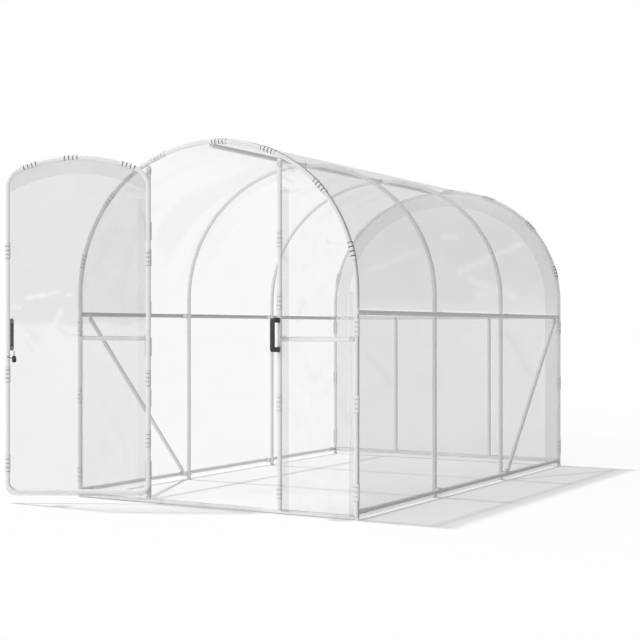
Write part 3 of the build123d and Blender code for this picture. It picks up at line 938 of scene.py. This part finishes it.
def door_hem_rows():
    # a band of even depth under the curved head, as wide as the leaf
    half = leaf_width / 2 - door_hem_inset
    steps = 60
    columns = 8
    corner_across = leaf_width / 2 - door_corner_radius
    reach = door_top_radius - door_corner_radius
    corner_up = door_head_middle + sqrt(reach ** 2 - corner_across ** 2)
    head_limit = door_top_radius * corner_across / reach
    rows = []
    for step in range(steps + 1):
        across = half * (2 * step / steps - 1)
        if abs(across) < head_limit:
            high = door_head_middle + sqrt(door_top_radius ** 2 - across ** 2)
        else:
            high = corner_up + sqrt(door_corner_radius ** 2 - (abs(across) - corner_across) ** 2)
        low = door_head_middle + sqrt((door_top_radius - door_hem_width) ** 2 - across ** 2)
        heights = [high + (low - high) * column / columns for column in range(columns + 1)]
        rows.append([leaf_spot(door_middle + across, height, panel_offset + hem_gap) for height in heights])
    return rows


def door_flap_rows():
    # the film's free edge, hanging wavy below the bottom rail and dying out round the corners
    half = leaf_width / 2 - door_foot_radius
    bend = door_foot_radius * pi / 2
    reach = half + bend
    steps = 120
    columns = 4
    rows = []
    for step in range(steps + 1):
        run = reach * (2 * step / steps - 1)
        side = 1 if run > 0 else -1
        turn = max(0.0, abs(run) - half) / door_foot_radius
        middle = Vector((side * min(abs(run), half), door_rail_height + door_foot_radius))
        out = Vector((side * sin(turn), -cos(turn)))
        wave = noise_at(run * 14, 2.2, 0.7)
        drop = (door_flap_drop + door_flap_wave * wave) * (1 - smooth(0.5, 1.0, turn / (pi / 2)))
        row = []
        for column in range(columns + 1):
            share = column / columns
            at = middle + out * (door_foot_radius + tube_radius - door_flap_lap + drop * share)
            row.append(leaf_spot(door_middle + at.x, at.y, door_flap_out + door_flap_out * wave * share))
        rows.append(row)
    return rows


def build_door_film():
    rows = 200
    columns = 80
    lines = door_outline(rows)
    piece = flat_film("film_door", lines, columns, leaf_spot, door_surface, door_film, "door")
    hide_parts("door_film")
    hems = [
        add_hem("hem_door_head", door_hem_rows(), even_haze(door_hem_haze), door_film, "door"),
        add_hem("hem_door_flap", door_flap_rows(), even_haze(door_haze), door_film, "door"),
    ]


# Ribbed snap clips
def clip_stations():
    # places along a clip, each with its outside radius and how much painted shade it has
    stations = []
    pitch = (clip_length + clip_gap) / clip_ribs
    for rib in range(clip_ribs):
        start = rib * pitch
        end = start + pitch - clip_gap
        stations.append((start, clip_sleeve, 1.0))
        stations.append((start + clip_bevel, clip_rib, 1.0))
        stations.append((start + clip_line, clip_rib, 1.0))
        stations.append((start + clip_line + clip_bevel, clip_rib, 0.0))
        stations.append((end - clip_bevel, clip_rib, 0.0))
        stations.append((end, clip_sleeve, clip_foot_painted_shade))
    return stations


def add_clip(points, faces, painted_shades, place, shade_strength):
    # one open ring swept along its tube; place gives its middle, mouth, side and outer lip
    around = 26
    ring = 2 * around
    stations = clip_stations()
    base = len(points)
    turns = [clip_mouth + (2 * pi - 2 * clip_mouth) * step / (around - 1) for step in range(around)]
    for distance, radius, painted_shade in stations:
        middle, mouth, side, lip = place(distance - clip_length / 2)
        ways = [mouth * cos(turn) + side * sin(turn) for turn in turns]
        for way in ways:
            points.append(middle + way * radius)
            # painted shade on the side of the clip that faces out from the film
            outer = smooth(cos(clip_shade_turn), cos(0.7 * clip_shade_turn), way.dot(lip))
            painted_shades.append(shade_strength * max(painted_shade, clip_lip_painted_shade * outer))
        for way in reversed(ways):
            points.append(middle + way * clip_bore)
            painted_shades.append(0.0)
    count = len(stations)
    faces.extend(ring_faces(base, count, ring))
    for row, order in ((0, 1), (count - 1, -1)):
        first = base + row * ring
        for step in range(around - 1):
            face = (first + step, first + ring - 1 - step, first + ring - 2 - step, first + step + 1)
            faces.append(face[::order])


def straight_place(spot, mouth, lip):
    # place along an upright tube
    def place(distance):
        return spot + up * distance, mouth, up.cross(mouth), lip
    return place


def bent_place(to_world, middle, radius, turn, back):
    # place along a bend of an upright plane, the mouth inwards and towards the back
    def place(distance):
        at = radians(turn) + distance / radius
        spot = to_world(middle[0] + radius * sin(at), middle[1] + radius * cos(at))
        ahead = to_world(cos(at), -sin(at)) - to_world(0, 0)
        lip = to_world(sin(at), cos(at)) - to_world(0, 0)
        mouth = (back - lip).normalized()
        return spot, mouth, ahead.cross(mouth), lip
    return place


def build_clips(name, node, places, body):
    points, faces, painted_shades = [], [], []
    for place, shade_strength in places:
        add_clip(points, faces, painted_shades, place, shade_strength)
    piece = add_piece(name, points, faces, clip_white, body)
    set_values(piece, "groove", painted_shades)
    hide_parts(node)


def hoop_places(to_world, back):
    places = []
    for side in (-1, 1):
        lip = Vector((side, 0, 0))
        mouth = (back - lip).normalized()
        for height in leg_clip_heights:
            places.append((straight_place(to_world(side * half_width, height), mouth, lip), leg_clip_painted_shade))
    for turn in hoop_clip_turns:
        side = 1 if turn > 0 else -1
        middle, radius = (0, crown_middle), crown_radius
        if abs(radians(turn)) > crown_turn:
            middle, radius = (side * shoulder_middle, spring_height), shoulder_radius
        # clips on the shaded right half get more painted shade than those on the lit left half
        painted_shade = right_clip_painted_shade if turn > 0 else left_clip_painted_shade
        places.append((bent_place(to_world, middle, radius, turn, back), painted_shade))
    return places


def jamb_places(across, shares, top, side):
    mouth = Vector((side, 1, 0)).normalized()
    lip = Vector((-side, 0, 0))
    return [(straight_place(front_spot(across, share * top), mouth, lip), jamb_clip_painted_shade) for share in shares]


def door_places():
    places = []
    for stile, shares, mouth in (
        (hinge_stile, hinge_stile_clip_shares, leaf_across),
        (free_stile, free_stile_clip_shares, -leaf_across),
    ):
        for share in shares:
            spot = leaf_spot(stile, share * door_crown)
            places.append((straight_place(spot, mouth, -mouth), stile_clip_painted_shade))
    head = (door_middle, door_head_middle)
    still = Vector((0, 0, 0))
    for turn in door_top_clip_turns:
        places.append((bent_place(leaf_spot, head, door_top_radius, turn, still), head_clip_painted_shade))
    return places


# Sleeves where rails end, and bolts
def add_sleeve(points, faces, start, end, shift):
    # a lipped sleeve on a rail's end, a little off its middle so that it stays inside the film
    around = 28
    axis = (end - start).normalized()
    length = (end - start).length
    lip = sleeve_radius + sleeve_lip
    profile = (
        (0.0, tube_radius - sleeve_bite),
        (0.0, lip - sleeve_lip / 2),
        (sleeve_lip, lip),
        (sleeve_lip_end, lip),
        (sleeve_lip_end + sleeve_lip, sleeve_radius),
        (length - sleeve_lip_end - sleeve_lip, sleeve_radius),
        (length - sleeve_lip_end, lip),
        (length - sleeve_lip, lip),
        (length, lip - sleeve_lip / 2),
        (length, tube_radius - sleeve_bite),
    )
    add_turned(points, faces, start + shift, axis, profile, around)


def build_sleeves():
    points, faces = [], []
    for side in (-1, 1):
        shift = Vector((-side * (sleeve_shift + sleeve_lip), 0, 0))
        for height in (purlin_height, base_rail_height):
            for end_y, into in ((front_y, 1), (rear_y, -1)):
                along = end_y + into * (tube_radius + sleeve_start)
                start = Vector((middle_x + side * half_width, along, height))
                add_sleeve(points, faces, start, start + Vector((0, into * sleeve_length, 0)), shift)
    for jamb, top in ((left_jamb, left_jamb_top), (right_jamb, right_jamb_top)):
        start = front_spot(jamb, top - jamb_sleeve_drop)
        add_sleeve(points, faces, start, start - up * jamb_sleeve_length, Vector((0, sleeve_shift, 0)))
    piece = add_piece("sleeves_rail_ends", points, faces, clip_white, "tunnel")
    set_values(piece, "groove", [sleeve_dark] * len(points))


def add_bolt(points, faces, spot, axis):
    # domed bolt head on its washer
    profile = [(bolt_radius * (out - bolt_sink_share), bolt_radius * wide) for out, wide in bolt_profile]
    add_turned(points, faces, spot, axis, profile, bolt_sides)
    faces.append(tuple(range(len(points) - bolt_sides, len(points))))


def frame_bolts():
    # places and directions of the bolts that stay with the tunnel
    bolts = []
    ahead = Vector((0, 1, 0))
    for side in (-1, 1):
        inward = Vector((-side, 0, 0))
        for height in (purlin_height, base_rail_height):
            for along in (front_y + rail_bolt_inset, rear_y - rail_bolt_inset):
                inside = half_width - sleeve_radius - 2 * sleeve_shift
                bolts.append((Vector((middle_x + side * inside, along, height)), inward))
        bolts.append((rear_spot(side * rear_post, rear_rail_height, -tube_radius), -ahead))
        across = side * (half_width - rear_bolt_inset)
        bolts.append((rear_spot(across, rear_rail_height, -tube_radius), -ahead))
    for jamb, top, way in ((left_jamb, left_jamb_top, 1), (right_jamb, right_jamb_top, -1)):
        toward = Vector((way, 0, 0))
        bolts.append((front_spot(jamb + way * sleeve_radius, top - jamb_bolt_drop), toward))
        for across in (jamb - way * rail_bolt_inset, -way * (half_width - rail_bolt_inset)):
            bolts.append((front_spot(across, front_rail_height + tube_radius), up))
    for share in middle_hoop_shares:
        along = front_y + (rear_y - front_y) * share
        for side in (-1, 1):
            for reach in (-clamp_bolt_reach, clamp_bolt_reach):
                spot = Vector((middle_x + side * clamp_half_width, along + reach, ridge_height))
                bolts.append((spot, Vector((side, 0, 0))))
    for share in hinge_shares:
        middle = share * left_jamb_top
        for rise in (-hinge_screw_rise, hinge_screw_rise):
            bolts.append((front_spot(left_jamb, middle + rise, hinge_face), -ahead))
        bolts.append((Vector((pin_x, pin_y, middle + hinge_height / 2)), up))
    return bolts


def door_bolts():
    # places and directions of the screws that move with the door
    bolts = []
    for share in hinge_shares:
        for rise in (-hinge_screw_rise, hinge_screw_rise):
            bolts.append((leaf_spot(hinge_stile, share * left_jamb_top + rise, hinge_face), leaf_out))
    return bolts


def build_bolts(name, bolts, body):
    points, faces = [], []
    for spot, axis in bolts:
        add_bolt(points, faces, spot, axis)
    piece = add_piece(name, points, faces, hinge_steel, body)


# Studio
ambient = 0.40
sun_strength = 1.75
sun_from = Vector((-0.375, 0.0, 0.927))
sun_softness = radians(3)
fill_strength = 1.1
fill_from = Vector((-0.15, -0.925, 0.345))
fill_softness = radians(50)
lamp_distance = 8.0
floor_grey = 0.85
floor_lift = 0.118
floor_reach = 3000.0


def seen_directly(nodes, links):
    # 1 where the camera, a reflection or a clear piece looks at the backdrop or floor
    path = nodes.new("ShaderNodeLightPath")
    seen = sum_of(nodes, links, path.outputs["Is Camera Ray"], path.outputs["Is Glossy Ray"])
    return sum_of(nodes, links, seen, path.outputs["Is Transmission Ray"])


def build_floor():
    points = [(x, y, 0) for x in (-floor_reach, floor_reach) for y in (-floor_reach, floor_reach)]
    mesh = bpy.data.meshes.new("floor")
    mesh.from_pydata(points, [], [(0, 2, 3, 1)])
    floor = new_object("floor", mesh)
    material, nodes, links, bsdf = new_material("pale_floor")
    grey = (floor_grey, floor_grey, floor_grey, 1)
    set_inputs(bsdf, {"Base Color": grey, "Roughness": 0.95, "Specular IOR Level": 0.0})
    set_inputs(bsdf, {"Emission Color": (1, 1, 1, 1)})
    lift = ranged(nodes, links, seen_directly(nodes, links), 0, 1, 0, floor_lift)
    links.new(lift, bsdf.inputs["Emission Strength"])
    mesh.materials.append(material)


def build_world():
    world = bpy.data.worlds.new("studio")
    bpy.context.scene.world = world
    world.use_nodes = True
    nodes = world.node_tree.nodes
    links = world.node_tree.links
    background = nodes["Background"]
    background.inputs["Color"].default_value = (1, 1, 1, 1)
    strength = ranged(nodes, links, seen_directly(nodes, links), 0, 1, ambient, 1.0)
    links.new(strength, background.inputs["Strength"])


def aim(item, place, ahead):
    item.location = place
    item.rotation_mode = "QUATERNION"
    item.rotation_quaternion = ahead.to_track_quat("-Z", "Y")


def add_sun(name, strength, softness, came_from):
    light = bpy.data.lights.new(name, "SUN")
    light.energy = strength
    light.angle = softness
    aim(new_object(name, light), came_from * lamp_distance, -came_from)


def build_camera():
    data = bpy.data.cameras.new("camera")
    data.lens = camera_lens
    data.sensor_width = camera_sensor
    data.shift_y = (horizon_row - picture_width / 2) / picture_width
    camera = new_object("camera", data)
    aim(camera, camera_place, camera_ahead)
    scene = bpy.context.scene
    scene.camera = camera
    scene.view_settings.view_transform = "Standard"


dress_frame()
build_cover()
build_front_panel("left", -1, left_jamb, left_jamb_top, left_jamb_clip_shares, left_panel_look)
build_front_panel("right", 1, right_jamb, right_jamb_top, right_jamb_clip_shares, right_panel_look)
build_rear_panel()
build_door_film()
build_clips("clips_front_hoop", "front_hoop_clips", hoop_places(front_spot, Vector((0, 1, 0))), "tunnel")
build_clips("clips_rear_hoop", "rear_hoop_clips", hoop_places(rear_spot, Vector((0, -1, 0))), "tunnel")
left_places = jamb_places(left_jamb, left_jamb_clip_shares, left_jamb_top, -1)
right_places = jamb_places(right_jamb, right_jamb_clip_shares, right_jamb_top, 1)
build_clips("clips_left_jamb", "left_jamb_clips", left_places, "tunnel")
build_clips("clips_right_jamb", "right_jamb_clips", right_places, "tunnel")
build_clips("clips_door", "door_clips", door_places(), "door")
build_sleeves()
build_bolts("bolts_frame", frame_bolts(), "tunnel")
build_bolts("screws_door", door_bolts(), "door")
build_floor()
build_world()
add_sun("sun", sun_strength, sun_softness, sun_from)
add_sun("front_fill", fill_strength, fill_softness, fill_from)
build_camera()
